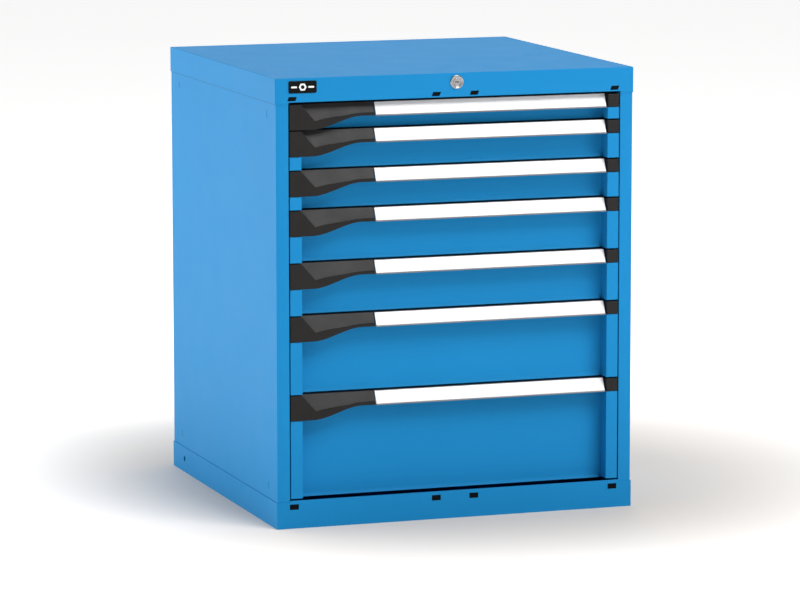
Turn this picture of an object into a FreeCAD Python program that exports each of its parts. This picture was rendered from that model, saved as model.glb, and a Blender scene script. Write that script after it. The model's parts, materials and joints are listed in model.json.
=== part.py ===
"""Industrial drawer cabinet: a folded sheet-steel housing with seven full-extension
drawers on telescopic rails, a front lock and the rod and bar by which it holds every
drawer shut. Millimetres. Origin at the middle of the footprint, on the floor.
+X is to the right of a person who faces the fronts, the fronts face -Y, +Z is up."""

import FreeCAD, Part
import math
import os

Vector = FreeCAD.Vector
os.makedirs("parts", exist_ok=True)

# ---------------------------------------------------------------- driving dimensions
WIDTH = 717.0                 # over the side skirts of cover and base
BODY_DEPTH = 705.0            # over the front and rear skirts, without lock and screw heads
BASE_HEIGHT = 53.5            # floor to the lowest drawer's module
SKIRT_HEIGHT = 49.5           # of the cover, above the highest drawer's module
FRONT_HEIGHTS = [50.0, 75.0, 75.0, 100.0, 100.0, 150.0, 200.0]   # drawer modules, top first

# Sheet thicknesses
COVER_SHEET = 1.5             # cover and base
PANEL_SHEET = 1.5             # side and rear panels
DRAWER_SHEET = 1.2
SMALL_FILLET = 0.8

# Housing
COLUMN_WIDTH = 24.7           # face of a front column, outside to opening
COLUMN_RETURN = 26.0          # how far the column's inner wall goes back
COLUMN_LIP = 8.0
REAR_FLANGE = 20.0
SEAM = 1.0                    # shadow gap under the cover's side skirt
COVER_EDGE_RADIUS = 1.4
COVER_FRONT_RISE = 4.0        # the cover's front edge stands this much above the module line
BASE_SILL = 3.0               # height of the sill above the base's side skirts
BASE_FLOOR_DROP = 21.5        # underside of the cabinet floor below the lowest module line
FOOT_STRIP_WIDTH = 30.0       # flat strips inside the skirts, which stand on the floor
STIFFENER_WIDTH = 60.0
STIFFENER_DEPTH = 10.0
STIFFENER_SPREAD = 170.0      # from the middle to each cover stiffener

# Slotted uprights inside the side panels
POST_WIDTH = 30.0
POST_INSET = 75.0             # from the skirt's face to the middle of the upright
POST_SLOT_PITCH = 25.0
POST_SLOT_WIDTH = 12.0
POST_SLOT_HEIGHT = 4.0

# Telescopic rails: a channel on the uprights, a carriage and a channel on the drawer
CHANNEL_WIDTH = 11.2
CHANNEL_HEIGHT = 36.0
CHANNEL_SHEET = 2.0
CHANNEL_LIP = 8.0             # turned-in lip, measured down from the flange's outer face
CHANNEL_SPACE = 4.4           # between the two channels
CARRIAGE_CLEARANCE = 0.5
CARRIAGE_HEAD = 5.8
CARRIAGE_WEB = 8.0
CARRIAGE_SIDE_GAP = 0.8       # carriage to the front column that it passes
RAIL_FRONT_SETBACK = 36.5     # from the skirt's face to the rails' front ends
RAIL_REAR_SETBACK = 28.5
RAIL_LENGTH = BODY_DEPTH - RAIL_FRONT_SETBACK - RAIL_REAR_SETBACK
RAIL_OVERLAP = 40.0           # rail length kept as overlap when a drawer is fully out
DRAWER_TRAVEL = RAIL_LENGTH - RAIL_OVERLAP

# Drawer fronts and trays
FRONT_GAP = 1.5               # drawer front to its module line, above and below
SIDE_GAP = 2.3                # drawer front to the column
STRIP_WIDTH = 22.0            # forward strip at each side of the recessed panel
STRIP_RETURN = 16.0
RECESS_DEPTH = 30.0
TRAY_FLOOR_RISE = 3.0
TRAY_TOP_DROP = 6.0
TRAY_REAR_SETBACK = 59.1
PANEL_TOP_DROP = 3.4
LIP_HEIGHT = 10.0             # sloping lip along the panel's bottom edge
LIP_REACH = 5.0
LIP_END_GAP = 5.0
LOWEST_STRIP_GAP = 3.2        # lowest drawer's strips above the sill

# Handle profile, grip and end cap; heights are measured down from the module's top
HANDLE_GRIP_GAP = 2.5
HANDLE_CAP_GAP = 2.5
GRIP_LENGTH = 168.0
GRIP_BLOCK = 45.0             # length of the full-height block
GRIP_NECK = 141.0             # from the outer end to where the slim part begins
GRIP_SLIM_DROP = 25.6
GRIP_FACET_START = 20.0       # facet's upper corner from the outer end
GRIP_FACET_EDGE = [(50.0, 32.3), (77.0, 27.5), (115.0, 24.0), (133.0, 21.0)]
GRIP_FACET_END_DROP = 20.0    # facet's lower edge where the grip meets the profile
GRIP_SPIGOT = 2.2             # plug that fills the joint between grip and profile
GRIP_SPIGOT_SETBACK = 2.0
GRIP_WALL = 2.5
CAP_TOP_DROP = 1.5
CAP_DROP = 26.0
FACE_BOTTOM_DROP = 27.0       # lower edge of the sloping label face
FACE_BOTTOM_DEPTH = 3.5
FACE_TOP_DROP = 1.2
FACE_TOP_DEPTH = 15.0
HANDLE_WALL = 2.0
HANDLE_LIP = 2.2

# Lock, lock rod and lock bar
LOCK_DROP = 17.3              # lock's centre below the cover's top
LOCK_FLANGE_RADIUS = 13.0
LOCK_FLANGE = 2.5
LOCK_BARREL_RADIUS = 9.5
LOCK_BARREL_CLEARANCE = 0.2
LOCK_PLUG_RADIUS = 7.0
LOCK_PLUG_CLEARANCE = 0.05
LOCK_BARREL_LENGTH = 27.0
LOCK_NUT_RADIUS = 14.0
LOCK_NUT_LENGTH = 6.0
LOCK_FACE_DROP = 0.4          # plug's face behind the flange's face
KEYHOLE_WIDTH = 8.0
KEYHOLE_HEIGHT = 2.2
KEYHOLE_DEPTH = 12.0
ROD_RADIUS = 4.0
CRANK_DISC_RADIUS = 10.0
CRANK_DISC = 6.0
DISC_TO_BAR = 2.0
PIN_PAST_BAR = 2.0
ROD_TO_BARREL = 2.0
CRANK_RADIUS = 5.0
CRANK_PIN_RADIUS = 2.5
CRANK_PIN_CLEARANCE = 0.35
BAR_SHEET = 3.0
BAR_SETBACK = 9.0             # from the tray's rear wall to the lock bar
BAR_HALF_WIDTH = 12.0
BAR_STEM = 8.0                # width of the bar's stem
BAR_HEAD_REACH = 8.0          # bar's wide head below the rod's centre
BAR_END_DROP = 6.0            # bar's lower end below the lowest module line
TONGUE_WIDTH = 12.0
TONGUE_RISE = 14.0            # above the drawer module's bottom
TONGUE_SHEET = 4.0
TONGUE_LIP_SHEET = 4.0
TONGUE_PAST_BAR = 3.0
TOOTH_HEIGHT = 8.0
TOOTH_CLEARANCE = 1.0         # tooth above the tongue's lip when unlocked
TOOTH_FLOOR_CLEARANCE = 1.0   # tooth above the tongue's blade when locked
GUIDE_CLEARANCE = 0.3
GUIDE_SHEET = 2.5
GUIDE_HEIGHT = 11.0
GUIDE_TO_HEAD = 2.0           # upper guide below the bar's head when locked
HANGER_SHEET = 3.0
HANGER_GAP = 20.0             # in front of the crank disc

# Slots in the cover and base front, closed with plugs
SLOT_CENTRE_SPREAD = 38.0
SLOT_SHIFT = -2.5             # the row of slots' offset from the middle
PLUG_DROP = 1.0               # plug's face behind the skirt's face
COVER_SLOT_RISE = 6.5         # above the highest module line
COVER_SLOT_HEIGHT = 8.0
COVER_SLOT_WIDTH = 16.0
COVER_SLOT_LEAN = 3.0
BASE_SLOT_DROP = 17.5         # lower edge below the lowest module line
BASE_SLOT_HEIGHT = 10.5
BASE_SLOT_WIDTH = 18.0
CORNER_SLOT_INSET = 1.5       # from the opening's edge

# Badge plate
BADGE_WIDTH = 55.0
BADGE_HEIGHT = 23.0
BADGE_THICKNESS = 1.0
BADGE_DROP = 5.5              # below the cover's top
BADGE_CORNER = 3.0

# Screws and holes
SCREW_HEAD_RADIUS = 5.0
SCREW_HEAD = 2.5              # equal to the lock's flange, so the outline stays centred
SCREW_SHANK_RADIUS = 2.0
SCREW_SHARES = (-0.9, -0.3, 0.3, 0.9)   # places along half the width
SIDE_SLOT_WIDTH = 2.2
SIDE_SLOT_HEIGHT = 13.0
SIDE_SLOT_INSET = 58.0        # from the skirt's face
SIDE_SLOT_RISE = 16.0         # lower slots above the lowest module line
SIDE_SLOT_DROP = 28.0         # upper slots' lower ends below the highest module line
SIDE_HOLE_RADIUS = 5.5
SIDE_HOLE_FROM_REAR = 79.5
SIDE_HOLE_RISE = 27.0

# ---------------------------------------------------------------- derived places
MODULES_TOP = BASE_HEIGHT + sum(FRONT_HEIGHTS)
LOWEST_FRONT = min(FRONT_HEIGHTS)
HEIGHT = MODULES_TOP + SKIRT_HEIGHT
HALF_WIDTH = WIDTH / 2
FACE_Y = -BODY_DEPTH / 2                       # outer face of the front skirts
REAR_Y = BODY_DEPTH / 2
COLUMN_Y = FACE_Y + COVER_SHEET                # columns and drawer strips
PANEL_OUT = HALF_WIDTH - COVER_SHEET
PANEL_IN = PANEL_OUT - PANEL_SHEET
OPENING = PANEL_OUT - COLUMN_WIDTH             # half the clear width between columns
BASE_SIDE_RISE = BASE_HEIGHT - BASE_SILL
BASE_FLOOR = BASE_HEIGHT - BASE_FLOOR_DROP
FLOOR_TOP = BASE_FLOOR + COVER_SHEET
COVER_UNDER = HEIGHT - COVER_SHEET
REAR_PANEL_Y = REAR_Y - COVER_SHEET - 2 * PANEL_SHEET
POST_IN = OPENING - CARRIAGE_SIDE_GAP + CARRIAGE_CLEARANCE + CHANNEL_SHEET
CABINET_CHANNEL_IN = POST_IN - CHANNEL_WIDTH
DRAWER_CHANNEL_OUT = CABINET_CHANNEL_IN - CHANNEL_SPACE
TRAY_OUT = DRAWER_CHANNEL_OUT - CHANNEL_WIDTH
TRAY_IN = TRAY_OUT - DRAWER_SHEET
RAIL_Y0 = FACE_Y + RAIL_FRONT_SETBACK
RAIL_Y1 = RAIL_Y0 + RAIL_LENGTH
RAIL_RISE = LOWEST_FRONT / 2                    # the rails' centre above a module's bottom
STRIP_OUT = OPENING - SIDE_GAP
STRIP_IN = STRIP_OUT - STRIP_WIDTH
GRIP_DROP = LOWEST_FRONT - FRONT_GAP            # the grip fills the lowest drawer's front
PANEL_Y = COLUMN_Y + RECESS_DEPTH              # front of the recessed drawer panel
TRAY_REAR_Y = REAR_Y - TRAY_REAR_SETBACK
LOCK_Z = HEIGHT - LOCK_DROP
BAR_Y0 = TRAY_REAR_Y + BAR_SETBACK
BAR_Y1 = BAR_Y0 + BAR_SHEET
CRANK_REST = math.radians(45.0)                # crank pin's angle above the horizontal at rest
BAR_TRAVEL = 2 * CRANK_RADIUS * math.sin(CRANK_REST)
TONGUE_LIP = BAR_TRAVEL - TOOTH_CLEARANCE + TOOTH_FLOOR_CLEARANCE
DISC_Y0 = BAR_Y0 - DISC_TO_BAR - CRANK_DISC


# ---------------------------------------------------------------- helpers
def box(x0, x1, y0, y1, z0, z1):
    return Part.makeBox(x1 - x0, y1 - y0, z1 - z0, Vector(x0, y0, z0))


def cylinder_y(x, z, radius, y0, y1):
    return Part.makeCylinder(radius, y1 - y0, Vector(x, y0, z), Vector(0, 1, 0))


def prism(corners, sweep):
    """Solid swept along a vector from a closed polygon of 3-D corners."""
    loop = Part.makePolygon(corners + [corners[0]])
    return Part.Face(loop).extrude(sweep)


def prism_x(yz, x0, x1):
    return prism([Vector(x0, y, z) for y, z in yz], Vector(x1 - x0, 0, 0))


def prism_y(xz, y0, y1):
    return prism([Vector(x, y0, z) for x, z in xz], Vector(0, y1 - y0, 0))


def prism_z(xy, z0, z1):
    return prism([Vector(x, y, z0) for x, y in xy], Vector(0, 0, z1 - z0))


def mirrored(shape):
    return shape.mirror(Vector(0, 0, 0), Vector(1, 0, 0))


def joined(shapes):
    return shapes[0].multiFuse(shapes[1:]).removeSplitter() if len(shapes) > 1 else shapes[0]


def save(name, *solids):
    shape = solids[0] if len(solids) == 1 else Part.makeCompound(list(solids))
    shape.exportStep("parts/" + name + ".step")


def rounded_box(x0, x1, y0, y1, z0, z1, radius):
    """Box with its four upright edges and its top edges rounded."""
    block = box(x0, x1, y0, y1, z0, z1)
    edges = [e for e in block.Edges if max(v.Z for v in e.Vertexes) > z1 - 0.001]
    return block.makeFillet(radius, edges)


# ---------------------------------------------------------------- slots and their plugs
def slot_outlines():
    """Front slots as (corners in X and Z), cover slots first."""
    z0 = MODULES_TOP + COVER_SLOT_RISE
    z1 = z0 + COVER_SLOT_HEIGHT
    half = COVER_SLOT_WIDTH / 2
    outer = OPENING - CORNER_SLOT_INSET
    outlines = []
    for x in slot_centres(outer - half):
        lean = COVER_SLOT_LEAN / 2
        outlines.append([(x - half - lean, z0), (x + half - lean, z0),
                         (x + half + lean, z1), (x - half + lean, z1)])
    z0 = BASE_HEIGHT - BASE_SLOT_DROP
    z1 = z0 + BASE_SLOT_HEIGHT
    half = BASE_SLOT_WIDTH / 2
    for x in slot_centres(outer - half):
        outlines.append([(x - half, z0), (x + half, z0), (x + half, z1), (x - half, z1)])
    return outlines


def slot_centres(corner):
    return [SLOT_SHIFT + x for x in (-SLOT_CENTRE_SPREAD, SLOT_CENTRE_SPREAD, -corner, corner)]


def slot_tools():
    return [prism_y(o, FACE_Y - 1, COLUMN_Y + 1) for o in slot_outlines()]


def slot_plugs():
    return [prism_y(o, FACE_Y + PLUG_DROP, COLUMN_Y) for o in slot_outlines()]


# ---------------------------------------------------------------- housing
def top_cover():
    low = MODULES_TOP + SEAM
    outer = rounded_box(-HALF_WIDTH, HALF_WIDTH, FACE_Y, REAR_Y, low, HEIGHT, COVER_EDGE_RADIUS)
    inner = box(-PANEL_OUT, PANEL_OUT, COLUMN_Y, REAR_Y - COVER_SHEET, low - 1, COVER_UNDER)
    front_notch = box(-OPENING, OPENING, FACE_Y - 1, COLUMN_Y + 1, low - 1,
                      MODULES_TOP + COVER_FRONT_RISE)
    lock_hole = cylinder_y(0, LOCK_Z, LOCK_BARREL_RADIUS + LOCK_BARREL_CLEARANCE,
                           FACE_Y - 1, COLUMN_Y + 1)
    screw_holes = [cylinder_y(x, z, SCREW_SHANK_RADIUS, REAR_Y - COVER_SHEET - 1, REAR_Y + 1)
                   for x, z in screw_places() if z > MODULES_TOP]
    return outer.cut([inner, front_notch, lock_hole] + slot_tools()[:4] + screw_holes)


def cover_stiffener(y):
    """Hat channel under the cover's top sheet."""
    half = STIFFENER_WIDTH / 2
    reach = POST_IN
    low = COVER_UNDER - STIFFENER_DEPTH
    t = COVER_SHEET
    hat = [(y - half, COVER_UNDER), (y - half, COVER_UNDER - t), (y - half / 2, COVER_UNDER - t),
           (y - half / 2, low), (y + half / 2, low), (y + half / 2, COVER_UNDER - t),
           (y + half, COVER_UNDER - t), (y + half, COVER_UNDER),
           (y + half / 2 - t, COVER_UNDER), (y + half / 2 - t, low + t),
           (y - half / 2 + t, low + t), (y - half / 2 + t, COVER_UNDER)]
    return prism_x(hat, -reach, reach)


def side_panel():
    """Right side panel with its front column and rear flange, folded from one sheet."""
    t = PANEL_SHEET
    back = REAR_Y - COVER_SHEET
    plan = [(PANEL_OUT, COLUMN_Y), (PANEL_OUT, back), (PANEL_OUT - REAR_FLANGE, back),
            (PANEL_OUT - REAR_FLANGE, back - t), (PANEL_IN, back - t), (PANEL_IN, COLUMN_Y + t),
            (OPENING + t, COLUMN_Y + t), (OPENING + t, COLUMN_Y + COLUMN_RETURN - t),
            (OPENING + COLUMN_LIP, COLUMN_Y + COLUMN_RETURN - t),
            (OPENING + COLUMN_LIP, COLUMN_Y + COLUMN_RETURN),
            (OPENING, COLUMN_Y + COLUMN_RETURN), (OPENING, COLUMN_Y)]
    panel = prism_z(plan, FLOOR_TOP, COVER_UNDER)
    slots = [box(PANEL_IN - 1, PANEL_OUT + 1, y - SIDE_SLOT_WIDTH / 2, y + SIDE_SLOT_WIDTH / 2,
                 z, z + SIDE_SLOT_HEIGHT) for y, z in side_slot_places()]
    return panel.cut(slots)


def side_slot_places():
    """Centre in Y and lower end in Z of the upright slots in a side panel."""
    high = MODULES_TOP - SIDE_SLOT_DROP
    low = BASE_HEIGHT + SIDE_SLOT_RISE
    return [(y, z) for y in (FACE_Y + SIDE_SLOT_INSET, REAR_Y - SIDE_SLOT_INSET)
            for z in (low, high)]


def rear_panel():
    return box(-PANEL_IN, PANEL_IN, REAR_PANEL_Y, REAR_PANEL_Y + PANEL_SHEET, FLOOR_TOP,
               COVER_UNDER)


def base_frame():
    t = COVER_SHEET
    outer = box(-HALF_WIDTH, HALF_WIDTH, FACE_Y, REAR_Y, 0, BASE_SIDE_RISE)
    upper = box(-PANEL_OUT, PANEL_OUT, COLUMN_Y, REAR_Y - t, FLOOR_TOP, BASE_SIDE_RISE + 1)
    lower = box(-PANEL_OUT, PANEL_OUT, COLUMN_Y, REAR_Y - t, -1, BASE_FLOOR)
    sill = box(-OPENING, OPENING, FACE_Y, COLUMN_Y, BASE_SIDE_RISE, BASE_HEIGHT)
    frame = outer.cut([upper, lower]).fuse(sill).removeSplitter()
    hole_y = REAR_Y - SIDE_HOLE_FROM_REAR
    side_hole = Part.makeCylinder(SIDE_HOLE_RADIUS, t + 1, Vector(PANEL_OUT, hole_y, SIDE_HOLE_RISE),
                                  Vector(1, 0, 0))
    screw_holes = [cylinder_y(x, z, SCREW_SHANK_RADIUS, REAR_Y - t - 1, REAR_Y + 1)
                   for x, z in screw_places() if z < MODULES_TOP]
    return frame.cut([side_hole, mirrored(side_hole)] + slot_tools()[4:] + screw_holes)


def foot_strips():
    """Four flat strips along the foot of the skirts, side strips first."""
    t = COVER_SHEET
    y0 = COLUMN_Y
    y1 = REAR_Y - t
    inner_x = PANEL_OUT - FOOT_STRIP_WIDTH
    side = box(inner_x, PANEL_OUT, y0, y1, 0, t)
    front = box(-inner_x, inner_x, y0, y0 + FOOT_STRIP_WIDTH, 0, t)
    rear = box(-inner_x, inner_x, y1 - FOOT_STRIP_WIDTH, y1, 0, t)
    return [side, mirrored(side), front, rear]


def rack_post(y):
    """Right-hand slotted upright, a channel open towards the side panel."""
    t = PANEL_SHEET
    y0 = y - POST_WIDTH / 2
    y1 = y + POST_WIDTH / 2
    z0 = FLOOR_TOP
    z1 = COVER_UNDER - STIFFENER_DEPTH
    channel = box(POST_IN, PANEL_IN, y0, y1, z0, z1)
    channel = channel.cut(box(POST_IN + t, PANEL_IN + 1, y0 + t, y1 - t, z0 - 1, z1 + 1))
    count = int((MODULES_TOP - BASE_HEIGHT) / POST_SLOT_PITCH)
    slots = []
    for i in range(count):
        z = BASE_HEIGHT + (i + 0.5) * POST_SLOT_PITCH
        slots.append(box(POST_IN - 1, POST_IN + t + 1, y - POST_SLOT_WIDTH / 2,
                         y + POST_SLOT_WIDTH / 2, z - POST_SLOT_HEIGHT / 2,
                         z + POST_SLOT_HEIGHT / 2))
    return channel.cut(slots)


def screw_places():
    """Screws in the cover's and the base's rear skirts, as X and Z."""
    places = []
    for z in (MODULES_TOP + SKIRT_HEIGHT / 2, BASE_FLOOR / 2):
        for share in SCREW_SHARES:
            places.append((share * PANEL_IN, z))
    return places


def rear_screws():
    screws = []
    for x, z in screw_places():
        head = cylinder_y(x, z, SCREW_HEAD_RADIUS, REAR_Y, REAR_Y + SCREW_HEAD)
        rim = head.Edges
        outer = [e for e in rim if abs(e.BoundBox.YMin - REAR_Y - SCREW_HEAD) < 0.001
                 and abs(e.BoundBox.YMax - REAR_Y - SCREW_HEAD) < 0.001]
        head = head.makeFillet(SCREW_HEAD / 2, outer)
        shank = cylinder_y(x, z, SCREW_SHANK_RADIUS, REAR_Y - COVER_SHEET, REAR_Y)
        screws.append(head.fuse(shank).removeSplitter())
    return screws


# ---------------------------------------------------------------- telescopic rails
def channel(x_web, x_open, z):
    """C channel along Y; its web is at x_web and its lips are at x_open."""
    step = 1 if x_open > x_web else -1
    t = CHANNEL_SHEET * step
    h = CHANNEL_HEIGHT / 2
    s = CHANNEL_SHEET
    lip = h - CHANNEL_LIP
    outline = [(x_web, z - h), (x_open, z - h), (x_open, z - lip), (x_open - t, z - lip),
               (x_open - t, z - h + s), (x_web + t, z - h + s), (x_web + t, z + h - s),
               (x_open - t, z + h - s), (x_open - t, z + lip), (x_open, z + lip),
               (x_open, z + h), (x_web, z + h)]
    return prism_y(outline, RAIL_Y0, RAIL_Y1)


def cabinet_channel(z):
    return channel(POST_IN, CABINET_CHANNEL_IN, z)


def drawer_channel(z):
    return channel(TRAY_OUT, DRAWER_CHANNEL_OUT, z)


def carriage(z):
    """Middle member: one head runs in each channel, joined by a web between the lips."""
    c = CARRIAGE_CLEARANCE
    h = CHANNEL_HEIGHT / 2 - CHANNEL_SHEET - c
    w = CARRIAGE_WEB / 2
    inner = TRAY_OUT + CHANNEL_SHEET + c
    outer = POST_IN - CHANNEL_SHEET - c
    outline = [(inner, z - h), (inner + CARRIAGE_HEAD, z - h), (inner + CARRIAGE_HEAD, z - w),
               (outer - CARRIAGE_HEAD, z - w), (outer - CARRIAGE_HEAD, z - h), (outer, z - h),
               (outer, z + h), (outer - CARRIAGE_HEAD, z + h), (outer - CARRIAGE_HEAD, z + w),
               (inner + CARRIAGE_HEAD, z + w), (inner + CARRIAGE_HEAD, z + h), (inner, z + h)]
    return prism_y(outline, RAIL_Y0, RAIL_Y1)


# ---------------------------------------------------------------- drawers
def strip(bottom, top):
    """Right-hand front strip with the recess wall inside it and a return outside."""
    t = DRAWER_SHEET
    plan = [(STRIP_IN - t, PANEL_Y + t), (STRIP_IN - t, COLUMN_Y), (STRIP_OUT, COLUMN_Y),
            (STRIP_OUT, COLUMN_Y + STRIP_RETURN), (STRIP_OUT - t, COLUMN_Y + STRIP_RETURN),
            (STRIP_OUT - t, COLUMN_Y + t), (STRIP_IN, COLUMN_Y + t), (STRIP_IN, PANEL_Y + t)]
    return prism_z(plan, bottom, top)


def tray(z0, z1):
    """Drawer body: tray, recessed front with its side strips, and the lock's tongue."""
    t = DRAWER_SHEET
    floor = z0 + TRAY_FLOOR_RISE
    rim = z1 - TRAY_TOP_DROP
    bottom = z0 + FRONT_GAP
    hollow = box(-TRAY_OUT, TRAY_OUT, PANEL_Y, TRAY_REAR_Y, floor, rim)
    hollow = hollow.cut(box(-TRAY_IN, TRAY_IN, PANEL_Y + t, TRAY_REAR_Y - t, floor + t, rim + 1))
    panel = box(-STRIP_IN, STRIP_IN, PANEL_Y, PANEL_Y + t, bottom, z1 - PANEL_TOP_DROP)
    lip_right = STRIP_IN - t - LIP_END_GAP
    lip_left = -lip_right
    grip_meets_lip = z1 - GRIP_DROP < bottom + LIP_HEIGHT
    if grip_meets_lip:
        lip_left = -STRIP_OUT + GRIP_BLOCK + LIP_END_GAP
    lip = prism_x([(PANEL_Y, bottom + LIP_HEIGHT), (PANEL_Y - LIP_REACH, bottom + 1),
                   (PANEL_Y - LIP_REACH, bottom), (PANEL_Y + t, bottom),
                   (PANEL_Y + t, bottom + LIP_HEIGHT)], lip_left, lip_right)
    foot = bottom
    if z0 <= BASE_HEIGHT:
        foot = z0 + LOWEST_STRIP_GAP
    pieces = [hollow, panel, lip, strip(foot, z1 - CAP_DROP - FRONT_GAP / 2)]
    left_top = z1 - GRIP_DROP - FRONT_GAP / 2
    if not grip_meets_lip:
        pieces.append(mirrored(strip(foot, left_top)))
    return joined(pieces + [tongue(z0)])


def tongue(z0):
    """Catch behind the drawer, which the lock bar's tooth drops in front of."""
    x0 = -BAR_HALF_WIDTH + BAR_STEM + TOOTH_CLEARANCE
    x1 = x0 + TONGUE_WIDTH
    low = z0 + TONGUE_RISE
    lip_y = BAR_Y1 + TONGUE_PAST_BAR
    blade = box(x0, x1, TRAY_REAR_Y - DRAWER_SHEET, lip_y, low, low + TONGUE_SHEET)
    lip = box(x0, x1, lip_y, lip_y + TONGUE_LIP_SHEET, low,
              low + TONGUE_SHEET + TONGUE_LIP)
    return blade.fuse(lip)


def face_depth(drop):
    """How far the sloping label face is behind the strips, at a drop below the module's top."""
    slope = (FACE_TOP_DEPTH - FACE_BOTTOM_DEPTH) / (FACE_BOTTOM_DROP - FACE_TOP_DROP)
    return FACE_BOTTOM_DEPTH + (FACE_BOTTOM_DROP - drop) * slope


def handle(z1):
    """Extruded handle profile: sloping face, front lip and a flange back to the panel."""
    y = COLUMN_Y
    w = HANDLE_WALL
    knee = FACE_TOP_DROP + HANDLE_WALL
    section = [(y + FACE_BOTTOM_DEPTH - HANDLE_LIP, z1 - FACE_BOTTOM_DROP),
               (y + FACE_BOTTOM_DEPTH - HANDLE_LIP, z1 - FACE_BOTTOM_DROP + HANDLE_LIP),
               (y + FACE_BOTTOM_DEPTH, z1 - FACE_BOTTOM_DROP + HANDLE_LIP),
               (y + FACE_TOP_DEPTH, z1 - FACE_TOP_DROP),
               (PANEL_Y, z1 - FACE_TOP_DROP),
               (PANEL_Y, z1 - knee),
               (y + face_depth(knee) + w, z1 - knee),
               (y + FACE_BOTTOM_DEPTH + w, z1 - FACE_BOTTOM_DROP + HANDLE_LIP),
               (y + FACE_BOTTOM_DEPTH + w, z1 - FACE_BOTTOM_DROP)]
    x0 = -STRIP_OUT + GRIP_LENGTH + HANDLE_GRIP_GAP
    x1 = STRIP_IN - HANDLE_CAP_GAP
    return prism_x(section, x0, x1)


def grip(z1):
    """Moulded grip at the handle's left end: a deep block that sweeps up to the profile."""
    x = -STRIP_OUT
    block = Vector(x + GRIP_BLOCK, COLUMN_Y, z1 - GRIP_DROP)
    neck = Vector(x + GRIP_NECK, COLUMN_Y, z1 - GRIP_SLIM_DROP)
    reach = (GRIP_NECK - GRIP_BLOCK) / 3
    sweep = Part.BezierCurve()
    sweep.setPoles([block, block + Vector(reach, 0, 0), neck - Vector(reach, 0, 0), neck])
    top = z1 - FRONT_GAP / 2
    end = Vector(x + GRIP_LENGTH, COLUMN_Y, z1 - GRIP_SLIM_DROP)
    corner = Vector(x + GRIP_LENGTH, COLUMN_Y, top)
    start = Vector(x, COLUMN_Y, top)
    heel = Vector(x, COLUMN_Y, z1 - GRIP_DROP)
    sides = [Part.LineSegment(a, b).toShape() for a, b in
             ((neck, end), (end, corner), (corner, start), (start, heel), (heel, block))]
    loop = Part.Wire([sweep.toShape()] + sides)
    body = Part.Face(loop).extrude(Vector(0, RECESS_DEPTH, 0))
    body = body.cut([grip_facet(z1), finger_hollow(z1)])
    back = COLUMN_Y + FACE_TOP_DEPTH + GRIP_WALL
    inset = GRIP_SPIGOT_SETBACK
    depth = [(COLUMN_Y + face_depth(FACE_TOP_DROP + inset) + inset, z1 - FACE_TOP_DROP - inset),
             (COLUMN_Y + face_depth(GRIP_SLIM_DROP - inset) + inset, z1 - GRIP_SLIM_DROP + inset),
             (back, z1 - GRIP_SLIM_DROP + inset), (back, z1 - FACE_TOP_DROP - inset)]
    end_x = x + GRIP_LENGTH
    return body.fuse(prism_x(depth, end_x - GRIP_WALL, end_x + GRIP_SPIGOT)).removeSplitter()


def grip_facet(z1):
    """Tool for the facet that carries the handle's sloping face on into the grip."""
    x = -STRIP_OUT
    over = 2.0
    y = COLUMN_Y
    run_out = FACE_BOTTOM_DROP + FACE_BOTTOM_DEPTH * (FACE_BOTTOM_DROP - FACE_TOP_DROP) / (
        FACE_TOP_DEPTH - FACE_BOTTOM_DEPTH)
    wedge = prism_x([(y - 1, z1 + over), (y + face_depth(-over), z1 + over),
                     (y, z1 - run_out), (y - 1, z1 - run_out)], x, x + GRIP_LENGTH + 1)
    end = x + GRIP_LENGTH + 1
    edge = [(x + reach, z1 - drop) for reach, drop in GRIP_FACET_EDGE]
    outline = prism_y([(x + GRIP_FACET_START, z1 + over)] + edge
                      + [(end, z1 - GRIP_FACET_END_DROP), (end, z1 + over)],
                      y - 1, y + RECESS_DEPTH)
    return wedge.common(outline)


def finger_hollow(z1):
    """Room behind the grip's front wall for the fingers, open downwards."""
    x0 = -STRIP_OUT + GRIP_BLOCK
    x1 = -STRIP_OUT + GRIP_LENGTH + 1
    y0 = COLUMN_Y + FACE_TOP_DEPTH + GRIP_WALL
    return box(x0, x1, y0, PANEL_Y + 1, z1 - GRIP_DROP - 1, z1 - FACE_TOP_DROP - GRIP_WALL)


def end_cap(z1):
    block = box(STRIP_IN, STRIP_OUT, COLUMN_Y, PANEL_Y, z1 - CAP_DROP, z1 - CAP_TOP_DROP)
    edges = [e for e in block.Edges if e.BoundBox.YMax < COLUMN_Y + 0.001]
    return block.makeFillet(SMALL_FILLET, edges)


# ---------------------------------------------------------------- lock
def lock_housing():
    flange = cylinder_y(0, LOCK_Z, LOCK_FLANGE_RADIUS, FACE_Y - LOCK_FLANGE, FACE_Y)
    edges = [e for e in flange.Edges if e.BoundBox.YMax < FACE_Y - LOCK_FLANGE + 0.001]
    flange = flange.makeFillet(SMALL_FILLET, edges)
    barrel = cylinder_y(0, LOCK_Z, LOCK_BARREL_RADIUS, FACE_Y, FACE_Y + LOCK_BARREL_LENGTH)
    bore = cylinder_y(0, LOCK_Z, LOCK_PLUG_RADIUS + LOCK_PLUG_CLEARANCE,
                      FACE_Y - LOCK_FLANGE - 1, FACE_Y + LOCK_BARREL_LENGTH + 1)
    return flange.fuse(barrel).cut(bore)


def lock_nut():
    ring = cylinder_y(0, LOCK_Z, LOCK_NUT_RADIUS, COLUMN_Y, COLUMN_Y + LOCK_NUT_LENGTH)
    return ring.cut(cylinder_y(0, LOCK_Z, LOCK_BARREL_RADIUS, COLUMN_Y - 1,
                               COLUMN_Y + LOCK_NUT_LENGTH + 1))


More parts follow.
